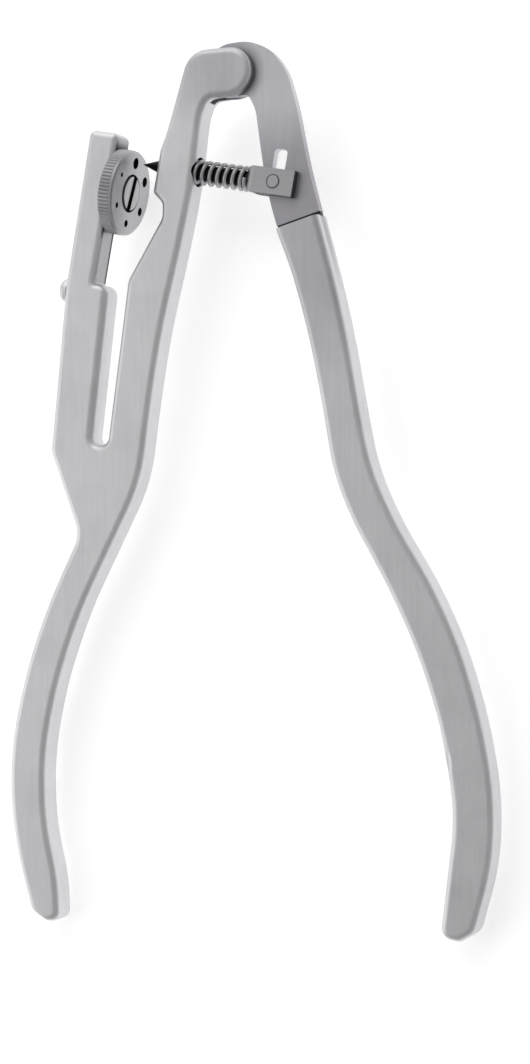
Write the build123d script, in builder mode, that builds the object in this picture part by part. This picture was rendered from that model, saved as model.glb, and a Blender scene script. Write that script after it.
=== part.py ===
from build123d import *
import math
import os

# Rotary-anvil hole punch pliers for thin rubber sheet.
# Frame: the origin is on the hinge axis, in the plane of the handles' flat
# back faces.  +Z is the plate normal (up when the tool lies on a bench),
# +Y runs from the handles' ends to the hinge, +X is towards the moving handle.

os.makedirs("parts", exist_ok=True)

# ---------------------------------------------------------------- dimensions
PLATE = 6.2            # thickness of both handles
ZM = PLATE / 2         # mid plane, where the punch and the hinge tongue lie
EDGE_R = 1.3           # rounding of the handles' long edges
TONGUE_T = 2.0         # thickness of the moving handle's tongue
FORK_GAP = 2.2         # gap between the head's two cheeks

HEAD_R = 4.64          # round end of the head
TONGUE_R = 5.3         # round end of the tongue
FORK_R = 7.0           # radius of the slot cut between the cheeks
HINGE_PIN_R = 1.90
HINGE_CLEAR = 0.05     # running clearance of the tongue on the pin

TILT = 10.6            # the punch axis falls this much towards +X, degrees
PUNCH_N = -19.4        # height of the punch axis in the tilted frame
PIN_U = 12.83          # clevis pin along the punch axis

WHEEL_FACE_U = -17.42  # anvil wheel's working face
WHEEL_T = 2.9
WHEEL_R = 8.25
WHEEL_PCR = 5.86       # radius of the circle of die holes
DIE_HOLES = [1.10, 0.98, 0.84, 0.70, 0.56, 0.45]   # radii, in order round the wheel
KNURL_TEETH = 72
KNURL_DEPTH = 0.18

PRONG_IN_U = -20.72    # outer prong's inner face
PRONG_OUT_U = -27.2    # outer prong's outer face
PRONG_TOP_N = -14.3
RIVET_FACE_U = -26.85  # spot face under the index spring's rivet

TIP_U = -15.9          # point of the punch, at rest
ROD_R = 1.50
ROD_CLEAR = 0.05
CONE_LEN = 4.4
BOSS_IN_U = -11.6
BOSS_OUT_U = -3.75
POCKET_R = 2.82        # counterbore that seats the spring
POCKET_DEPTH = 2.0

BLOCK_U0 = 7.2
BLOCK_U1 = 17.0
BLOCK_H = 5.0
BLOCK_W = 5.2
BLOCK_GAP = 2.2
BLOCK_FLOOR_U = 8.55
CLEVIS_PIN_R = 1.15
SLOT_R = 1.33
SLOT_TOP_N = -13.05
SLOT_CORNER = 0.75      # corner radius of the window slot's ends
RELIEF = 0.85          # width of the relief groove at the foot of the step

SPRING_R = 2.05        # mean coil radius
SPRING_WIRE = 0.80
SPRING_TURNS = 7.5

SCREW_HEAD_R = 3.35
SCREW_SHOULDER_R = 2.0
SCREW_THREAD_R = 1.5

# ------------------------------------------------------------- tilted frame
CU = math.cos(math.radians(TILT))
SU = math.sin(math.radians(TILT))
U_DIR = (CU, -SU, 0)   # along the punch, towards the moving handle
N_DIR = (SU, CU, 0)    # across it, towards the hinge


def un(u, n):
    """Tilted coordinates to X, Y."""
    return (u * CU + n * SU, -u * SU + n * CU)


def un3(u, n, z):
    x, y = un(u, n)
    return (x, y, z)


def across(u, n, z=ZM):
    """A plane whose normal is the punch axis and whose X runs towards the hinge."""
    return Plane(origin=un3(u, n, z), x_dir=N_DIR, z_dir=U_DIR)


def upright(n, z=ZM, u=0.0):
    """A plane that holds the punch axis: X along it, Y along +Z."""
    return Plane(origin=un3(u, n, z), x_dir=U_DIR, z_dir=tuple(-c for c in N_DIR))


def rounded(points):
    """Corner points and the radii that turn them into runs and tangent arcs."""
    xy = [p[:2] for p in points]
    radii = []
    for i, p in enumerate(points):
        if len(p) == 3:
            radii.append(p[2])
            continue
        a, b, c = xy[i - 1], xy[i], xy[(i + 1) % len(xy)]
        v = (b[0] - a[0], b[1] - a[1])
        w = (c[0] - b[0], c[1] - b[1])
        turn = abs(math.atan2(v[0] * w[1] - v[1] * w[0], v[0] * w[0] + v[1] * w[1]))
        radii.append(0.47 * min(math.hypot(*v), math.hypot(*w)) / math.tan(turn / 2))
    return xy, radii


def keep(part, name):
    part.label = name
    export_step(part, "parts/" + name + ".step")
    print(name, "volume", round(part.volume, 2), "solids", len(part.solids()))


# ------------------------------------------------------------- fixed handle
prong_top_out = un(PRONG_OUT_U, PRONG_TOP_N)
prong_top_in = un(PRONG_IN_U, PRONG_TOP_N)
shoulder_foot = un(PRONG_IN_U, -43.6)

FRAME_OUTLINE = [
    # head: round end, flat top and rounded corner
    (4.64, -4.66, 4.6), (4.64, 4.64, 4.6), (-8.39, 4.64, 5.0),
    # outer edge of the upper arm, the punch boss and the throat below it
    (-13.15, -10.8, 8.0), (-14.4, -13.9, 4.0), (-15.95, -22.1, 0.8), (-14.0, -24.2, 1.6),
    (-14.0, -27.0, 3.0), (-21.25, -38.7, 4.0),
    # slot between the two prongs
    (-25.68, -70.45, 1.65), (-29.18, -70.45, 1.65), (-25.45, -39.6, 2.2),
    # quarter-round shoulder, anvil prong
    (shoulder_foot[0], shoulder_foot[1], 0.35),
    (prong_top_in[0], prong_top_in[1], 1.3), (prong_top_out[0], prong_top_out[1], 1.3),
    (-34.75, -39.3, 60.0), (-38.0, -71.6, 4.0), (-31.9, -87.9, 5.5),
    # outer edge of the grip
    (-38.5, -100.9), (-43.35, -113.8), (-46.5, -127.2), (-47.15, -138.0), (-45.75, -149.5),
    (-42.3, -161.6, 3.2), (-39.0, -163.6, 1.8), (-36.0, -163.4, 1.9),
    # inner edge of the grip, up to the head
    (-36.4, -155.2), (-39.1, -144.0), (-39.35, -131.0), (-36.6, -117.2), (-31.4, -102.8),
    (-25.2, -90.9), (-18.3, -77.6), (-16.6, -64.5), (-14.2, -49.6), (-10.1, -33.4),
    (-7.55, -21.8), (-5.75, -7.9), (-4.4, -4.9, 2.2), (-1.6, -4.66, 2.0),
]

with BuildPart() as fixed_handle:
    with BuildSketch(Plane.XY) as fixed_outline:
        frame_xy, frame_r = rounded(FRAME_OUTLINE)
        with BuildLine():
            FilletPolyline(*frame_xy, radius=frame_r, close=True)
        make_face()
    extrude(amount=PLATE)
    # soften the long edges of both faces
    fillet(fixed_handle.faces().sort_by(Axis.Z)[-1].outer_wire().edges(), radius=EDGE_R)
    fillet(fixed_handle.faces().sort_by(Axis.Z)[0].outer_wire().edges(), radius=EDGE_R)
    # slot between the cheeks of the head
    with BuildSketch(Plane.XY.offset(ZM - FORK_GAP / 2)) as fork_cut:
        Circle(FORK_R)
        with BuildLine():
            Polyline((-4.6, -5.27), (-3.6, -8.5), (6.0, -8.5), (6.0, 0.0), (0, 0), close=True)
        make_face()
    extrude(amount=FORK_GAP, mode=Mode.SUBTRACT)
    # hole for the hinge pin, through both cheeks
    with BuildSketch(Plane.XY) as hinge_hole:
        Circle(HINGE_PIN_R)
    extrude(amount=PLATE, mode=Mode.SUBTRACT)
    # guide bore of the punch and the spring's counterbore
    with BuildSketch(across(BOSS_IN_U - 3.0, PUNCH_N)) as guide_bore:
        Circle(ROD_R + ROD_CLEAR)
    extrude(amount=BOSS_OUT_U - BOSS_IN_U + 6.0, mode=Mode.SUBTRACT)
    with BuildSketch(across(BOSS_OUT_U - POCKET_DEPTH, PUNCH_N)) as pocket:
        Circle(POCKET_R)
    extrude(amount=5.0, mode=Mode.SUBTRACT)
    # tapped hole of the anvil screw, blind in the prong
    with BuildSketch(across(PRONG_IN_U - 5.2, PUNCH_N - WHEEL_PCR)) as anvil_thread:
        Circle(SCREW_THREAD_R)
    extrude(amount=5.6, mode=Mode.SUBTRACT)
    # groove and slit that hold the index spring
    with BuildSketch(across(PRONG_IN_U - 0.75, -38.4)) as leaf_groove:
        Rectangle(20.0, 4.3)
    extrude(amount=0.75, mode=Mode.SUBTRACT)
    # rivet hole of the index spring
    with BuildSketch(across(PRONG_OUT_U - 2.6, -45.7)) as rivet_hole:
        Circle(0.95)
    extrude(amount=10.2, mode=Mode.SUBTRACT)
    with BuildSketch(across(RIVET_FACE_U - 2.0, -45.7)) as rivet_spotface:
        Circle(2.6)
    extrude(amount=2.0, mode=Mode.SUBTRACT)
keep(fixed_handle.part, "fixed_handle")

# ------------------------------------------------------------ moving handle
STEP_LEFT = (9.45, -30.5)
STEP_RIGHT = (17.85, -28.1)
HANDLE_OUTLINE = [
    # outer edge, from the hinge to the end of the grip
    (3.2, 5.8, 8.0), (7.6, 4.1), (11.0, 0.0), (13.2, -7.0), (15.2, -17.6), (17.9, -27.6),
    (20.75, -37.6), (23.9, -50.4), (26.35, -64.0), (28.6, -75.2),
    (33.6, -86.0), (40.1, -96.0), (45.8, -107.8), (49.9, -121.0), (52.4, -134.5),
    (52.2, -147.5), (48.6, -160.2, 3.0), (45.6, -162.0, 1.8), (41.9, -161.3, 2.2),
    # inner edge, back to the hinge
    (43.2, -150.5), (44.6, -139.0), (42.3, -124.0), (37.6, -109.4), (31.3, -96.4),
    (24.7, -85.2), (20.9, -76.0), (18.9, -64.0), (16.2, -50.8), (12.6, -38.2),
    (9.1, -29.6), (7.0, -21.8), (5.7, -13.2), (4.9, -7.4, 6.0), (3.4, -4.5, 0.8),
    # round end of the tongue
    (-5.3, -4.5, 4.3), (-5.3, 5.3, 5.2),
]

with BuildPart() as moving_handle:
    with BuildSketch(Plane.XY) as handle_outline:
        handle_xy, handle_r = rounded(HANDLE_OUTLINE)
        with BuildLine():
            FilletPolyline(*handle_xy, radius=handle_r, close=True)
        make_face()
    extrude(amount=PLATE)
    fillet(moving_handle.faces().sort_by(Axis.Z)[-1].outer_wire().edges(), radius=EDGE_R)
    fillet(moving_handle.faces().sort_by(Axis.Z)[0].outer_wire().edges(), radius=EDGE_R)
    # both faces milled away above the step, which leaves the tongue
    step_dx, step_dy = STEP_RIGHT[0] - STEP_LEFT[0], STEP_RIGHT[1] - STEP_LEFT[1]
    for z0, z1 in ((-1.0, ZM - TONGUE_T / 2), (ZM + TONGUE_T / 2, PLATE + 1.0)):
        with BuildSketch(Plane.XY.offset(z0)) as milled:
            with BuildLine():
                Polyline((STEP_LEFT[0] - 2 * step_dx, STEP_LEFT[1] - 2 * step_dy),
                         (STEP_RIGHT[0] + 2 * step_dx, STEP_RIGHT[1] + 2 * step_dy),
                         (30.0, 20.0), (-20.0, 20.0), close=True)
            make_face()
        extrude(amount=z1 - z0, mode=Mode.SUBTRACT)
    # relief groove at the foot of the step, on both sides of the tongue
    step_l = math.hypot(step_dx, step_dy)
    rise = (-step_dy / step_l * RELIEF, step_dx / step_l * RELIEF)
    for z0 in (ZM - TONGUE_T / 2 - 1.0, ZM + TONGUE_T / 2 - 0.35):
        with BuildSketch(Plane.XY.offset(z0)) as relief:
            with BuildLine():
                Polyline((STEP_LEFT[0] - step_dx, STEP_LEFT[1] - step_dy),
                         (STEP_RIGHT[0] + step_dx, STEP_RIGHT[1] + step_dy),
                         (STEP_RIGHT[0] + step_dx + rise[0], STEP_RIGHT[1] + step_dy + rise[1]),
                         (STEP_LEFT[0] - step_dx + rise[0], STEP_LEFT[1] - step_dy + rise[1]), close=True)
            make_face()
        extrude(amount=1.35, mode=Mode.SUBTRACT)
    # hinge bore
    with BuildSketch(Plane.XY) as tongue_bore:
        Circle(HINGE_PIN_R + HINGE_CLEAR)
    extrude(amount=PLATE, mode=Mode.SUBTRACT)
    # window slot square to the punch axis
    slot_len = SLOT_TOP_N - PUNCH_N + SLOT_R
    slot_plane = Plane(origin=un3(PIN_U, PUNCH_N - SLOT_R + slot_len / 2, 0.0),
                       x_dir=N_DIR, z_dir=(0, 0, 1))
    with BuildSketch(slot_plane) as window:
        RectangleRounded(slot_len, 2 * SLOT_R, SLOT_CORNER)
    extrude(amount=PLATE, mode=Mode.SUBTRACT)
keep(moving_handle.part, "moving_handle")

# ---------------------------------------------------------------- hinge pin
with BuildPart() as hinge_pin:
    with BuildSketch(Plane.XY) as hinge_pin_end:
        Circle(HINGE_PIN_R)
    extrude(amount=PLATE)
keep(hinge_pin.part, "hinge_pin")

# ------------------------------------------------------------ punch plunger
with BuildPart() as punch_plunger:
    # round rod with its conical cutting point
    with BuildSketch(upright(PUNCH_N)) as rod_half:
        with BuildLine():
            Polyline((TIP_U, 0.0), (TIP_U + CONE_LEN, ROD_R), (BLOCK_U0 + 0.4, ROD_R),
                     (BLOCK_U0 + 0.4, 0.0), close=True)
        make_face()
    revolve(axis=Axis(un3(0, PUNCH_N, ZM), U_DIR))
    # clevis block
    with BuildSketch(across(BLOCK_U0, PUNCH_N)) as block_end:
        Rectangle(BLOCK_H, BLOCK_W)
    extrude(amount=BLOCK_U1 - BLOCK_U0)
    # rounded shoulders at the rod's end, small breaks elsewhere
    shoulder_edges = punch_plunger.edges().filter_by(GeomType.LINE).filter_by(
        lambda e: abs((e.center() - Vector(*un3(BLOCK_U0, PUNCH_N, ZM))).dot(Vector(*U_DIR))) < 1e-3)
    fillet(shoulder_edges, radius=1.3)
    with BuildSketch(across(BLOCK_FLOOR_U, PUNCH_N)) as fork_gap:
        Rectangle(BLOCK_H + 2.0, BLOCK_GAP)
    extrude(amount=BLOCK_U1 - BLOCK_FLOOR_U + 1.0, mode=Mode.SUBTRACT)
    with BuildSketch(Plane(origin=un3(PIN_U, PUNCH_N, 0.0), x_dir=U_DIR, z_dir=(0, 0, 1))) as pin_hole:
        Circle(CLEVIS_PIN_R)
    extrude(amount=PLATE, mode=Mode.SUBTRACT)
keep(punch_plunger.part, "punch_plunger")

# --------------------------------------------------------------- clevis pin
CLEVIS_PIN_Z0 = ZM - BLOCK_W / 2 - 0.12
with BuildPart() as clevis_pin:
    with BuildSketch(Plane(origin=un3(PIN_U, PUNCH_N, CLEVIS_PIN_Z0), x_dir=U_DIR, z_dir=(0, 0, 1))) as clevis_pin_end:
        Circle(CLEVIS_PIN_R)
    extrude(amount=BLOCK_W + 0.24)
    fillet(clevis_pin.edges().filter_by(GeomType.CIRCLE), radius=0.11)
keep(clevis_pin.part, "clevis_pin")

# ------------------------------------------------------------ return spring
spring_u0 = BOSS_OUT_U - POCKET_DEPTH + SPRING_WIRE / 2 + 0.03
spring_u1 = BLOCK_U0 - SPRING_WIRE / 2 - 0.05
spring_len = spring_u1 - spring_u0
with BuildPart() as return_spring:
    with BuildLine() as coil:
        Helix(pitch=spring_len / SPRING_TURNS, height=spring_len, radius=SPRING_R,
              center=un3(spring_u0, PUNCH_N, ZM), direction=U_DIR)
    with BuildSketch(Plane(origin=coil.line @ 0, z_dir=coil.line % 0)) as wire:
        Circle(SPRING_WIRE / 2)
    sweep(path=coil.line, is_frenet=True)
keep(return_spring.part, "return_spring")

# -------------------------------------------------------------- anvil wheel
wheel_n = PUNCH_N - WHEEL_PCR
knurl = []
for k in range(KNURL_TEETH):
    a0 = 2 * math.pi * k / KNURL_TEETH
    for frac, rr in ((0.0, WHEEL_R - KNURL_DEPTH), (0.30, WHEEL_R), (0.70, WHEEL_R)):
        a = a0 + 2 * math.pi * frac / KNURL_TEETH
        knurl.append((rr * math.cos(a), rr * math.sin(a)))
with BuildPart() as anvil_wheel:
    with BuildSketch(across(WHEEL_FACE_U - WHEEL_T, wheel_n)) as knurled_disc:
        with BuildLine():
            Polyline(*knurl, close=True)
        make_face()
    extrude(amount=WHEEL_T - 0.75)
    # plain lip at the working face
    with BuildSketch(across(WHEEL_FACE_U - 0.75, wheel_n)) as lip:
        Circle(WHEEL_R - 0.05)
    extrude(amount=0.75)
    chamfer(anvil_wheel.faces().sort_by(Axis(un3(0, wheel_n, ZM), U_DIR))[-1].edges(), length=0.3)
    # recess for the screw's head
    with BuildSketch(across(WHEEL_FACE_U - 0.95, wheel_n)) as head_recess:
        Circle(SCREW_HEAD_R + 0.35)
    extrude(amount=2.0, mode=Mode.SUBTRACT)
    with BuildSketch(across(WHEEL_FACE_U - WHEEL_T - 1.0, wheel_n)) as wheel_bore:
        Circle(SCREW_SHOULDER_R + 0.05)
    extrude(amount=WHEEL_T + 2.0, mode=Mode.SUBTRACT)
    # six graduated die holes, the largest in line with the punch
    for k in range(6):
        a = k * math.pi / 3
        hole_plane = Plane(origin=un3(WHEEL_FACE_U - WHEEL_T - 1.0, wheel_n + WHEEL_PCR * math.cos(a),
                                      ZM - WHEEL_PCR * math.sin(a)), x_dir=N_DIR, z_dir=U_DIR)
        with BuildSketch(hole_plane) as die_hole:
            Circle(DIE_HOLES[k])
        extrude(amount=WHEEL_T + 2.0, mode=Mode.SUBTRACT)
    # track on the back that the index stud rides in
    with BuildSketch(across(WHEEL_FACE_U - WHEEL_T, wheel_n)) as index_track:
        Circle(WHEEL_PCR + 0.75)
        Circle(WHEEL_PCR - 0.75, mode=Mode.SUBTRACT)
    extrude(amount=0.45, mode=Mode.SUBTRACT)
keep(anvil_wheel.part, "anvil_wheel")

# -------------------------------------------------------------- anvil screw
head_under_u = WHEEL_FACE_U - 0.90
with BuildPart() as anvil_screw:
    with BuildSketch(across(head_under_u, wheel_n)) as screw_head:
        Circle(SCREW_HEAD_R)
    extrude(amount=1.15)
    fillet(anvil_screw.faces().sort_by(Axis(un3(0, wheel_n, ZM), U_DIR))[-1].edges(), radius=0.3)
    with BuildSketch(across(PRONG_IN_U, wheel_n)) as screw_shoulder:
        Circle(SCREW_SHOULDER_R)
    extrude(amount=head_under_u - PRONG_IN_U)
    with BuildSketch(across(PRONG_IN_U - 5.0, wheel_n)) as screw_thread:
        Circle(SCREW_THREAD_R)
    extrude(amount=5.0)
    with BuildSketch(Plane(origin=un3(head_under_u + 0.55, wheel_n, ZM), x_dir=N_DIR, z_dir=U_DIR)) as driver_slot:
        Rectangle(2 * SCREW_HEAD_R + 1.0, 1.50, rotation=-9)
    extrude(amount=2.0, mode=Mode.SUBTRACT)
keep(anvil_screw.part, "anvil_screw")

# ------------------------------------------------------------- anvil washer
with BuildPart() as anvil_washer:
    with BuildSketch(across(PRONG_IN_U, wheel_n)) as washer_ring:
        Circle(3.4)
        Circle(SCREW_SHOULDER_R + 0.02, mode=Mode.SUBTRACT)
    extrude(amount=WHEEL_FACE_U - WHEEL_T - PRONG_IN_U - 0.05)
keep(anvil_washer.part, "anvil_washer")

# ------------------------------------------------- index spring, stud, rivet
stud_n = wheel_n - WHEEL_PCR
with BuildPart() as index_spring:
    with BuildSketch(across(PRONG_IN_U - 0.74, -38.9)) as leaf:
        Rectangle(18.6, 4.0)
    extrude(amount=0.55)
    fillet(index_spring.edges().filter_by(Axis(un3(0, 0, 0), U_DIR)), radius=0.9)
    with BuildSketch(across(PRONG_IN_U - 2.0, -45.7)) as leaf_rivet_hole:
        Circle(0.97)
    extrude(amount=3.0, mode=Mode.SUBTRACT)
    with BuildSketch(across(PRONG_IN_U - 2.0, stud_n)) as leaf_stud_hole:
        Circle(0.45)
    extrude(amount=3.0, mode=Mode.SUBTRACT)
keep(index_spring.part, "index_spring")

with BuildPart() as index_stud:
    with BuildSketch(across(PRONG_IN_U - 0.74, stud_n)) as stud_tail:
        Circle(0.45)
    extrude(amount=0.55)
    with BuildSketch(across(PRONG_IN_U - 0.19, stud_n)) as stud_nose:
        Circle(0.62)
    extrude(amount=0.98)
    fillet(index_stud.faces().sort_by(Axis(un3(0, stud_n, ZM), U_DIR))[-1].edges(), radius=0.4)
keep(index_stud.part, "index_stud")

with BuildPart() as index_rivet:
    with BuildSketch(across(RIVET_FACE_U - 0.5, -45.7)) as rivet_shank:
        Circle(0.95)
    extrude(amount=7.7)
    with BuildSketch(across(RIVET_FACE_U - 1.75, -45.7)) as rivet_head:
        Circle(2.35)
    extrude(amount=1.75)
    fillet(index_rivet.faces().sort_by(Axis(un3(0, -45.7, ZM), U_DIR))[0].edges(), radius=1.1)
keep(index_rivet.part, "index_rivet")
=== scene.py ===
import math
import bpy
from mathutils import Vector, Matrix


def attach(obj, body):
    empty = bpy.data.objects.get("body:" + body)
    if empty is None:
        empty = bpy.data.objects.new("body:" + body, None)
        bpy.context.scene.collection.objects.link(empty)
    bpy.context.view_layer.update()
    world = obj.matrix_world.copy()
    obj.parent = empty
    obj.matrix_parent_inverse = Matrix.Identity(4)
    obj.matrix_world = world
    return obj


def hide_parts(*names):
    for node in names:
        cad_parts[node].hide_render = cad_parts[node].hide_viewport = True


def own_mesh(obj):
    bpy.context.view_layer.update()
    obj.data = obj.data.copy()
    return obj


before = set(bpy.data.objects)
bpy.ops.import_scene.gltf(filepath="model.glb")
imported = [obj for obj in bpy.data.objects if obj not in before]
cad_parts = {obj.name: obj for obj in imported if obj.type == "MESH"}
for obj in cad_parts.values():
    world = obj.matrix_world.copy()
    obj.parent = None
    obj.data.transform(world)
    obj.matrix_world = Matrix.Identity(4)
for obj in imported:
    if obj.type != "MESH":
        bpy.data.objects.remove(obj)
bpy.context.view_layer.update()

MM = 0.001


# ------------------------------------------------------------------ materials
def new_material(name):
    m = bpy.data.materials.new(name)
    m.use_nodes = True
    nt = m.node_tree
    nt.nodes.clear()
    out = nt.nodes.new("ShaderNodeOutputMaterial")
    bsdf = nt.nodes.new("ShaderNodeBsdfPrincipled")
    nt.links.new(bsdf.outputs[0], out.inputs[0])
    return m, nt, bsdf


def steel(name, light, dark, rough=(0.34, 0.46), grain=0.16, stretch=(1, 1, 1), bump=0.05,
          tilt=0.0, spec_scale=9.0, metallic=1.0, patch=None):
    """Satin steel: blasted grain, faint polishing lines along one axis, soft mottling."""
    m, nt, bsdf = new_material(name)
    L, N = nt.links, nt.nodes
    co = N.new("ShaderNodeTexCoord")
    mapping = N.new("ShaderNodeMapping")
    mapping.inputs["Scale"].default_value = (1000 * stretch[0], 1000 * stretch[1], 1000 * stretch[2])
    mapping.inputs["Rotation"].default_value = (0, 0, tilt)
    L.new(co.outputs["Object"], mapping.inputs["Vector"])
    mm_map = N.new("ShaderNodeMapping")
    mm_map.inputs["Scale"].default_value = (1000, 1000, 1000)
    L.new(co.outputs["Object"], mm_map.inputs["Vector"])
    # broad mottling
    cloud = N.new("ShaderNodeTexNoise")
    cloud.inputs["Scale"].default_value = 0.11
    cloud.inputs["Detail"].default_value = 4
    cloud.inputs["Roughness"].default_value = 0.6
    L.new(mm_map.outputs[0], cloud.inputs["Vector"])
    # polishing lines
    lines = N.new("ShaderNodeTexNoise")
    lines.inputs["Scale"].default_value = 1.4
    lines.inputs["Detail"].default_value = 6
    lines.inputs["Roughness"].default_value = 0.7
    L.new(mapping.outputs[0], lines.inputs["Vector"])
    # blasted grain
    fine = N.new("ShaderNodeTexNoise")
    fine.inputs["Scale"].default_value = spec_scale
    fine.inputs["Detail"].default_value = 3
    L.new(mm_map.outputs[0], fine.inputs["Vector"])
    mix = N.new("ShaderNodeMath"); mix.operation = "MULTIPLY_ADD"
    mix.inputs[1].default_value = 0.5
    L.new(cloud.outputs["Fac"], mix.inputs[0])
    half = N.new("ShaderNodeMath"); half.operation = "MULTIPLY"
    half.inputs[1].default_value = 0.5
    L.new(lines.outputs["Fac"], half.inputs[0])
    L.new(half.outputs[0], mix.inputs[2])
    ramp = N.new("ShaderNodeValToRGB")
    ramp.color_ramp.elements[0].position = 0.32
    ramp.color_ramp.elements[0].color = (*dark, 1)
    ramp.color_ramp.elements[1].position = 0.66
    ramp.color_ramp.elements[1].color = (*light, 1)
    L.new(mix.outputs[0], ramp.inputs[0])
    base = ramp.outputs[0]
    def dot_minus(d, m0):
        dot = N.new("ShaderNodeVectorMath"); dot.operation = "DOT_PRODUCT"
        L.new(mm_map.outputs[0], dot.inputs[0])
        dot.inputs[1].default_value = d
        off = N.new("ShaderNodeMath"); off.operation = "SUBTRACT"
        L.new(dot.outputs["Value"], off.inputs[0])
        off.inputs[1].default_value = m0
        return off.outputs[0]

    # zones of the same metal tinted darker or lighter, most of them painted shade: each zone is a tint and a list of
    # bands, and a band is a direction, its middle, half width and edge softness, all in mm along that direction
    for tint, bands in (patch or []):
        zone = None
        for direction, middle, half_width, soft in bands:
            if len(direction) == 2:
                # a round zone: two directions across its axis, and middle holds the axis's place along both
                squares = []
                for d, m0 in zip(direction, middle):
                    off = dot_minus(d, m0)
                    sq = N.new("ShaderNodeMath"); sq.operation = "MULTIPLY"
                    L.new(off, sq.inputs[0])
                    L.new(off, sq.inputs[1])
                    squares.append(sq.outputs[0])
                tot = N.new("ShaderNodeMath"); tot.operation = "ADD"
                L.new(squares[0], tot.inputs[0])
                L.new(squares[1], tot.inputs[1])
                away = N.new("ShaderNodeMath"); away.operation = "SQRT"
                L.new(tot.outputs[0], away.inputs[0])
            else:
                away = N.new("ShaderNodeMath"); away.operation = "ABSOLUTE"
                L.new(dot_minus(direction, middle), away.inputs[0])
            step = N.new("ShaderNodeMapRange")
            step.inputs["From Min"].default_value = half_width + soft
            step.inputs["From Max"].default_value = half_width - soft
            L.new(away.outputs[0], step.inputs["Value"])
            if zone is None:
                zone = step.outputs[0]
            else:
                both = N.new("ShaderNodeMath"); both.operation = "MULTIPLY"
                L.new(zone, both.inputs[0])
                L.new(step.outputs[0], both.inputs[1])
                zone = both.outputs[0]
        mx = N.new("ShaderNodeMix"); mx.data_type = "RGBA"; mx.blend_type = "MULTIPLY"
        L.new(zone, mx.inputs[0])
        L.new(base, mx.inputs[6])
        mx.inputs[7].default_value = (*tint, 1)
        base = mx.outputs[2]
    L.new(base, bsdf.inputs["Base Color"])
    rr = N.new("ShaderNodeMapRange")
    rr.inputs["From Min"].default_value = 0.3
    rr.inputs["From Max"].default_value = 0.7
    rr.inputs["To Min"].default_value = rough[0]
    rr.inputs["To Max"].default_value = rough[1]
    L.new(mix.outputs[0], rr.inputs["Value"])
    L.new(rr.outputs[0], bsdf.inputs["Roughness"])
    bsdf.inputs["Metallic"].default_value = metallic
    bsdf.inputs["Specular IOR Level"].default_value = 0.5
    b1 = N.new("ShaderNodeBump")
    b1.inputs["Strength"].default_value = bump
    b1.inputs["Distance"].default_value = 0.00006
    L.new(fine.outputs["Fac"], b1.inputs["Height"])
    b2 = N.new("ShaderNodeBump")
    b2.inputs["Strength"].default_value = grain
    b2.inputs["Distance"].default_value = 0.00004
    L.new(lines.outputs["Fac"], b2.inputs["Height"])
    L.new(b1.outputs[0], b2.inputs["Normal"])
    L.new(b2.outputs[0], bsdf.inputs["Normal"])
    return m


CU, SU = math.cos(math.radians(10.6)), math.sin(math.radians(10.6))
U_AX, N_AX, Z_AX = (CU, -SU, 0), (SU, CU, 0), (0, 0, 1)
X_AX, Y_AX = (1, 0, 0), (0, 1, 0)
WHEEL_N = -25.26
STEP_AX = (-0.27473, 0.96152, 0)      # square to the step of the moving handle
STEP_AT = -31.92
M_FRAME = steel("satin_steel_frame", (0.79, 0.79, 0.805), (0.67, 0.67, 0.685), rough=(0.42, 0.52),
                stretch=(1, 0.06, 1), grain=0.08, bump=0.28,
                patch=[
                    # painted shade: the counterbore of the spring is made near black
                    ((0.06, 0.06, 0.07), [(U_AX, -5.6, 1.60, 0.04), ((N_AX, Z_AX), (-19.4, 3.1), 2.87, 0.02)]),
                    # painted shade on the inner face of the anvil prong, darkest round the wheel
                    ((0.60, 0.59, 0.62), [(U_AX, -20.6, 0.32, 0.2), (N_AX, -27.0, 16.0, 1.5)]),
                    ((0.22, 0.22, 0.23), [(U_AX, -20.5, 0.55, 0.1), (N_AX, WHEEL_N, 9.0, 0.6), (Z_AX, 3.1, 2.7, 0.25)]),
                    # the head's front face made darker, fading out from the pivot
                    ((0.76, 0.76, 0.77), [((X_AX, Y_AX), (-1.5, 0.0), 7.5, 5.0), (Z_AX, 6.2, 0.9, 0.1)]),
                    # painted shade on the end and underside of the head's cheeks
                    ((0.42, 0.42, 0.44), [(X_AX, 4.5, 7.6, 0.8), (Y_AX, -1.0, 5.5, 0.8), (Z_AX, 3.1, 2.35, 0.15)]),
                ])
M_HANDLE = steel("satin_steel_handle", (0.76, 0.76, 0.775), (0.64, 0.64, 0.655), rough=(0.42, 0.52),
                 stretch=(1, 0.06, 1), grain=0.08, bump=0.28,
                 patch=[
                     # ground faces of the tongue, made darker towards the step
                     ((0.90, 0.89, 0.91), [(STEP_AX, 0.0, -STEP_AT, 0.05), (Z_AX, 3.1, 1.1, 0.05)]),
                     ((0.70, 0.69, 0.71), [(STEP_AX, STEP_AT + 4.0, 14.0, 5.0), (Z_AX, 3.1, 1.1, 0.05)]),
                     # upper end of the grip, below the step
                     ((0.80, 0.80, 0.81), [(STEP_AX, STEP_AT - 9.0, 16.0, 9.0), (Z_AX, 6.2, 0.9, 0.1)]),
                     # painted shadow on the tongue round the head
                     ((0.55, 0.54, 0.56), [((X_AX, Y_AX), (0.0, 0.0), 5.6, 1.2), (Z_AX, 3.1, 1.1, 0.05)]),
                     # bright walls of the window
                     ((1.55, 1.58, 1.55), [(U_AX, 12.83, 1.7, 0.05), (N_AX, -16.6, 3.9, 0.05), (Z_AX, 3.1, 0.94, 0.03)]),
                     # painted shade: a dark line at the foot of the step
                     ((0.14, 0.14, 0.15), [(STEP_AX, STEP_AT + 0.40, 0.45, 0.06), (Z_AX, 3.1, 1.1, 0.05)]),
                 ])
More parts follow.
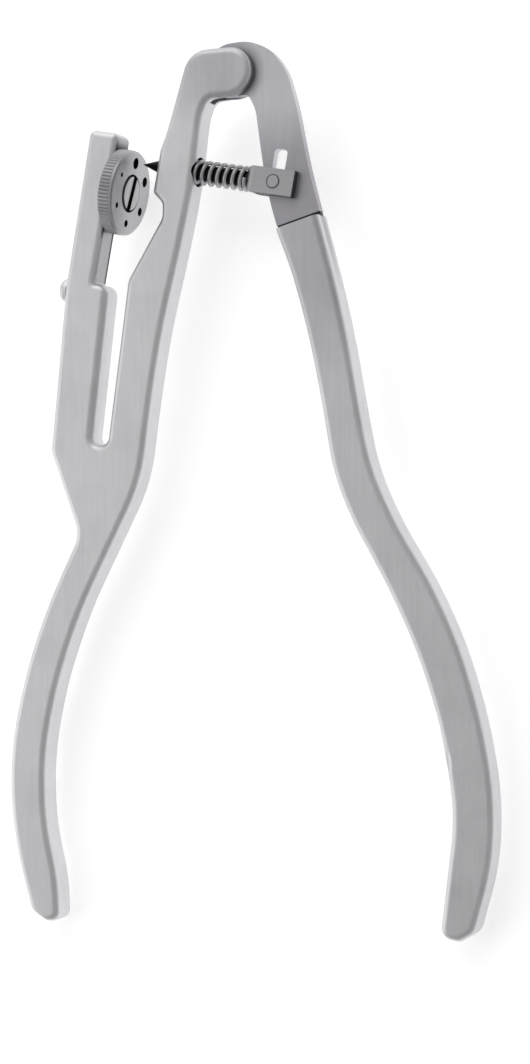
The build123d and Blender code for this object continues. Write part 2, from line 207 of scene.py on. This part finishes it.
M_PLUNGER = steel("turned_steel", (0.50, 0.50, 0.512), (0.39, 0.39, 0.40), rough=(0.36, 0.46),
                  stretch=(0.08, 1, 1), grain=0.12, bump=0.2, tilt=math.radians(-10.6),
                  patch=[
                      # painted shade: the rod and cutting point are made near black, for the shade between the coils of
                      # the spring
                      ((0.05, 0.05, 0.055), [(U_AX, -8.0, 15.12, 0.04)]),
                      # painted shade on the end faces of the clevis and its lower side
                      ((0.20, 0.20, 0.21), [(U_AX, 17.6, 0.68, 0.06)]),
                      ((0.22, 0.22, 0.23), [(N_AX, -22.4, 0.58, 0.06), (U_AX, 14.0, 5.0, 0.8)]),
                      # painted shadow at the edge of the pin's hole
                      ((0.30, 0.30, 0.31), [((U_AX, N_AX), (12.83, -19.4), 1.38, 0.06)]),
                  ])
M_PIN = steel("pin_steel", (0.50, 0.50, 0.512), (0.39, 0.39, 0.40), rough=(0.36, 0.46), grain=0.12, bump=0.2)
M_SPRING = steel("spring_wire", (0.52, 0.52, 0.53), (0.38, 0.38, 0.39), rough=(0.36, 0.48), grain=0.1, bump=0.1)
M_WHEEL = steel("wheel_steel", (0.56, 0.56, 0.575), (0.43, 0.43, 0.44), rough=(0.38, 0.50), grain=0.12, bump=0.2,
                patch=[
                    # painted shade in the bores and the recess of the wheel
                    ((0.10, 0.10, 0.11), [(U_AX, -19.2, 1.72, 0.02), ((N_AX, Z_AX), (WHEEL_N, 3.1), 7.2, 0.05)]),
                    # painted shade: the face is darker on one side
                    ((0.74, 0.74, 0.76), [(Z_AX, 11.5, 6.5, 3.0)]),
                ])
M_SCREW = steel("screw_steel", (0.54, 0.54, 0.55), (0.42, 0.42, 0.43), rough=(0.34, 0.46), grain=0.12, bump=0.15,
                # painted shade in the slot and on the flank of the head
                patch=[((0.12, 0.12, 0.13), [(U_AX, -19.5, 2.27, 0.03)])])

LOOK = {
    "fixed_handle": M_FRAME, "moving_handle": M_HANDLE, "hinge_pin": M_FRAME, "index_rivet": M_FRAME,
    "punch_plunger": M_PLUNGER, "clevis_pin": M_PIN, "return_spring": M_SPRING, "anvil_wheel": M_WHEEL,
    "anvil_screw": M_SCREW, "anvil_washer": M_SCREW, "index_spring": M_SPRING, "index_stud": M_SCREW,
}
for name, mat in LOOK.items():
    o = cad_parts[name]
    o.data.materials.clear()
    o.data.materials.append(mat)

# --------------------------------------------------------------------- spring
# A drawn-wire coil with closed ends.
U_DIR = Vector((CU, -SU, 0))
N_DIR = Vector((SU, CU, 0))
Z_DIR = Vector((0, 0, 1))
PUNCH_N, ZM = -19.4, 3.1
SEAT_U, BLOCK_U = -5.72, 7.17
WIRE_R, COIL_R = 0.40, 2.05
END_TURNS, END_PITCH, LIVE_TURNS, PHASE = 1.0, 0.84, 6.5, 0.25
live_pitch = (BLOCK_U - SEAT_U - 2 * WIRE_R - 2 * END_TURNS * END_PITCH) / LIVE_TURNS


def coil_u(t):
    """Distance along the spring's axis after t turns."""
    total = 2 * END_TURNS + LIVE_TURNS
    t = max(0.0, min(total, t))
    u = 0.0
    for span, pitch in ((END_TURNS, END_PITCH), (LIVE_TURNS, live_pitch), (END_TURNS, END_PITCH)):
        step = min(t, span)
        u += step * pitch
        t -= step
    return SEAT_U + WIRE_R + u


def coil_point(t):
    a = 2 * math.pi * (t + PHASE)
    # smooth the change of pitch
    u = sum(coil_u(t + d) for d in (-0.12, -0.06, 0.0, 0.06, 0.12)) / 5
    return U_DIR * u + N_DIR * (PUNCH_N + COIL_R * math.cos(a)) + Vector((0, 0, ZM)) + Z_DIR * (-COIL_R * math.sin(a))


SEG, RING = 64, 20
turns = 2 * END_TURNS + LIVE_TURNS
count = int(turns * SEG)
sv, sf = [], []
for i in range(count + 1):
    t = i / SEG
    p0, p1 = coil_point(t - 0.004), coil_point(t + 0.004)
    c = coil_point(t)
    tangent = (p1 - p0).normalized()
    axis_point = U_DIR * c.dot(U_DIR) + N_DIR * PUNCH_N + Vector((0, 0, ZM))
    outward = (c - axis_point)
    outward = (outward - tangent * outward.dot(tangent)).normalized()
    side = tangent.cross(outward)
    for k in range(RING):
        b = 2 * math.pi * k / RING
        sv.append(tuple((c + (outward * math.cos(b) + side * math.sin(b)) * WIRE_R) * MM))
for i in range(count):
    for k in range(RING):
        a0, a1 = i * RING + k, i * RING + (k + 1) % RING
        sf.append((a0, a1, a1 + RING, a0 + RING))
sf.append(tuple(range(RING))[::-1])
sf.append(tuple(count * RING + k for k in range(RING)))
spring_me = bpy.data.meshes.new("return_spring_coil")
spring_me.from_pydata(sv, [], sf)
spring_me.update()
for poly in spring_me.polygons:
    poly.use_smooth = len(poly.vertices) == 4
spring_me.materials.append(M_SPRING)
spring = bpy.data.objects.new("return_spring_coil", spring_me)
bpy.context.scene.collection.objects.link(spring)
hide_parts("return_spring")
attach(spring, "fixed_side")
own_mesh(spring)

# ---------------------------------------------------------------------- floor
# The tool rests on the wheel's rim and the two handle ends, so the floor is tilted by about two degrees.
FLOOR_SLOPE = -5.16 / 139.0
FLOOR_Y0 = -0.1605


def floor_z(y):
    return FLOOR_SLOPE * (y - FLOOR_Y0)


floor_mat, fnt, fb = new_material("pale_floor")
fb.inputs["Base Color"].default_value = (0.93, 0.93, 0.93, 1)
fb.inputs["Roughness"].default_value = 0.85
fb.inputs["Emission Color"].default_value = (1, 1, 1, 1)
fb.inputs["Emission Strength"].default_value = 0.52
fco = fnt.nodes.new("ShaderNodeTexCoord")
fno = fnt.nodes.new("ShaderNodeTexNoise")
fno.inputs["Scale"].default_value = 900
fbu = fnt.nodes.new("ShaderNodeBump")
fbu.inputs["Strength"].default_value = 0.02
fbu.inputs["Distance"].default_value = 0.0002
fnt.links.new(fco.outputs["Object"], fno.inputs["Vector"])
fnt.links.new(fno.outputs["Fac"], fbu.inputs["Height"])
fnt.links.new(fbu.outputs[0], fb.inputs["Normal"])
verts = []
for x, y in ((-3, -3), (3, -3), (3, 3), (-3, 3)):
    verts.append((x, y, floor_z(y) - 0.00005))
me = bpy.data.meshes.new("floor")
me.from_pydata(verts, [], [(0, 1, 2, 3)])
floor = bpy.data.objects.new("floor", me)
me.materials.append(floor_mat)
bpy.context.scene.collection.objects.link(floor)

# ---------------------------------------------------------------------- light
world = bpy.data.worlds.new("studio")
bpy.context.scene.world = world
world.use_nodes = True
wn = world.node_tree
wn.nodes.clear()
wout = wn.nodes.new("ShaderNodeOutputWorld")
wbg = wn.nodes.new("ShaderNodeBackground")
wbg.inputs["Color"].default_value = (1, 1, 1, 1)
wbg.inputs["Strength"].default_value = 0.38
wn.links.new(wbg.outputs[0], wout.inputs[0])


def area(name, pos, target, size, power, size_y=None):
    d = bpy.data.lights.new(name, "AREA")
    d.shape = "RECTANGLE"
    d.size = size
    d.size_y = size_y or size
    d.energy = power
    o = bpy.data.objects.new(name, d)
    o.location = pos
    o.rotation_euler = (Vector(target) - Vector(pos)).to_track_quat("-Z", "Y").to_euler()
    bpy.context.scene.collection.objects.link(o)
    return o


CENTRE = Vector((0.004, -0.079, 0.003))
area("soft_left", (-0.58, 0.02, 0.72), CENTRE, 0.80, 0.72)
area("back_top", (-0.25, 0.85, 0.55), CENTRE, 0.9, 3.2)
area("low_left", (-0.95, -0.25, 0.40), CENTRE, 0.8, 1.8)

# --------------------------------------------------------------------- camera
AZ = math.radians(22.5)
DIST = 0.430
target = Vector((0.006396, -0.087321, 0.0031))
cam = bpy.data.cameras.new("camera")
cam.sensor_fit = "VERTICAL"
cam.sensor_height = 36.0
cam.lens = 36.0 * (5.28 * 430.0) / 1064.0
cam.clip_start = 0.01
cam.clip_end = 20
cam_obj = bpy.data.objects.new("camera", cam)
back = Vector((math.sin(AZ), 0, math.cos(AZ)))
right = Vector((math.cos(AZ), 0, -math.sin(AZ)))
up = Vector((0, 1, 0))
rot = Matrix((right, up, back)).transposed()
cam_obj.matrix_world = Matrix.Translation(target + back * DIST) @ rot.to_4x4()
bpy.context.scene.collection.objects.link(cam_obj)
bpy.context.scene.camera = cam_obj
bpy.context.scene.view_settings.view_transform = "Standard"
